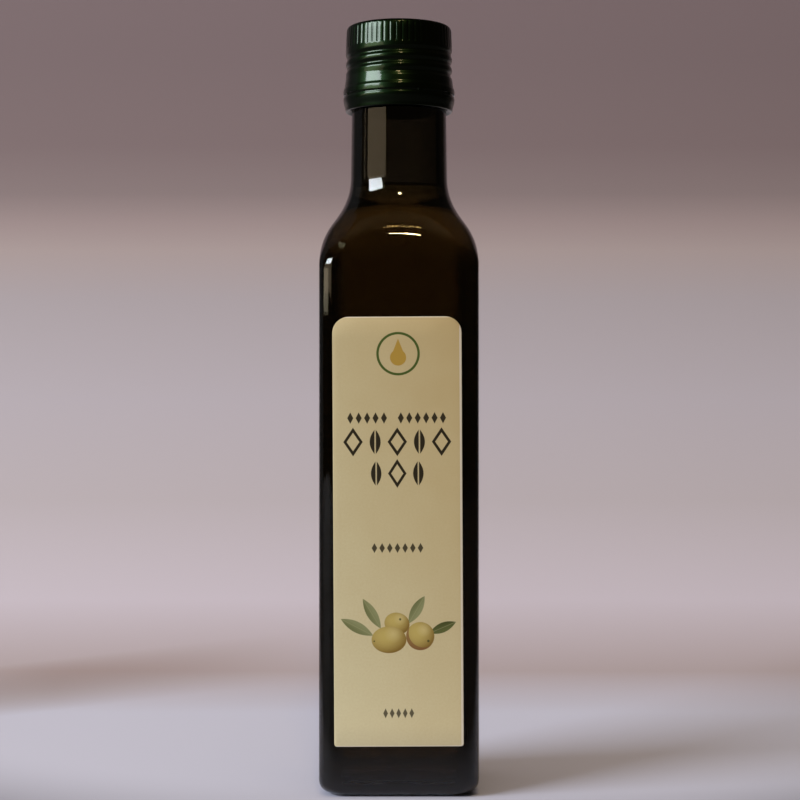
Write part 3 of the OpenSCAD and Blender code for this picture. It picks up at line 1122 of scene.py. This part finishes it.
class BOTTLE_OT_glass(bpy.types.Operator):
    """Build the hollow glass bottle"""

    bl_idname = "bottle.glass"
    bl_label = "Glass"

    def execute(self, context):
        glass = context.scene.bottle_glass
        build_glass(glass, glass_finish(glass))
        return {"FINISHED"}


class BOTTLE_OT_oil(bpy.types.Operator):
    """Fill the bottle with oil"""

    bl_idname = "bottle.oil"
    bl_label = "Oil"

    def execute(self, context):
        scene = context.scene
        build_oil(scene.bottle_glass, scene.bottle_oil, oil_finish(scene.bottle_oil))
        return {"FINISHED"}


class BOTTLE_OT_cap(bpy.types.Operator):
    """Roll the screw cap on"""

    bl_idname = "bottle.cap"
    bl_label = "Cap"

    def execute(self, context):
        cap = context.scene.bottle_cap
        build_cap(cap, cap_finish(cap))
        return {"FINISHED"}


class BOTTLE_OT_label(bpy.types.Operator):
    """Stick the paper label on"""

    bl_idname = "bottle.label"
    bl_label = "Label"

    def execute(self, context):
        label = context.scene.bottle_label
        build_label(label, label_finish(label))
        return {"FINISHED"}


class BOTTLE_OT_stage(bpy.types.Operator):
    """Set up the floor, the lights and the camera"""

    bl_idname = "bottle.stage"
    bl_label = "Studio"

    def execute(self, context):
        stage = context.scene.bottle_stage
        build_floor(stage)
        build_lights()
        build_world()
        build_camera(stage)
        context.scene.view_settings.view_transform = "Standard"
        return {"FINISHED"}


class BOTTLE_PT_panel(bpy.types.Panel):
    """Sizes, colours and the steps that build the bottle"""

    bl_label = "Oil bottle"
    bl_idname = "BOTTLE_PT_panel"
    bl_space_type = "VIEW_3D"
    bl_region_type = "UI"
    bl_category = "Bottle"

    def draw(self, context):
        for step, group in STEPS:
            box = self.layout.box()
            box.operator(step)
            settings = getattr(context.scene, group)
            for prop in settings.bl_rna.properties:
                if prop.identifier not in {"rna_type", "name"}:
                    box.prop(settings, prop.identifier)


STEPS = (
    ("bottle.glass", "bottle_glass"),
    ("bottle.oil", "bottle_oil"),
    ("bottle.cap", "bottle_cap"),
    ("bottle.label", "bottle_label"),
    ("bottle.stage", "bottle_stage"),
)
GROUPS = {
    "bottle_glass": GlassSettings,
    "bottle_oil": OilSettings,
    "bottle_cap": CapSettings,
    "bottle_label": LabelSettings,
    "bottle_stage": StageSettings,
}
CLASSES = (*GROUPS.values(), BOTTLE_OT_glass, BOTTLE_OT_oil, BOTTLE_OT_cap, BOTTLE_OT_label,
           BOTTLE_OT_stage, BOTTLE_PT_panel)


def register():
    for cls in CLASSES:
        bpy.utils.register_class(cls)
    for name, group in GROUPS.items():
        setattr(bpy.types.Scene, name, bpy.props.PointerProperty(type=group))


def unregister():
    for name in GROUPS:
        delattr(bpy.types.Scene, name)
    for cls in reversed(CLASSES):
        bpy.utils.unregister_class(cls)


def main():
    register()
    for step, _ in STEPS:
        area, name = step.split(".")
        getattr(getattr(bpy.ops, area), name)()


if __name__ == "__main__":
    main()
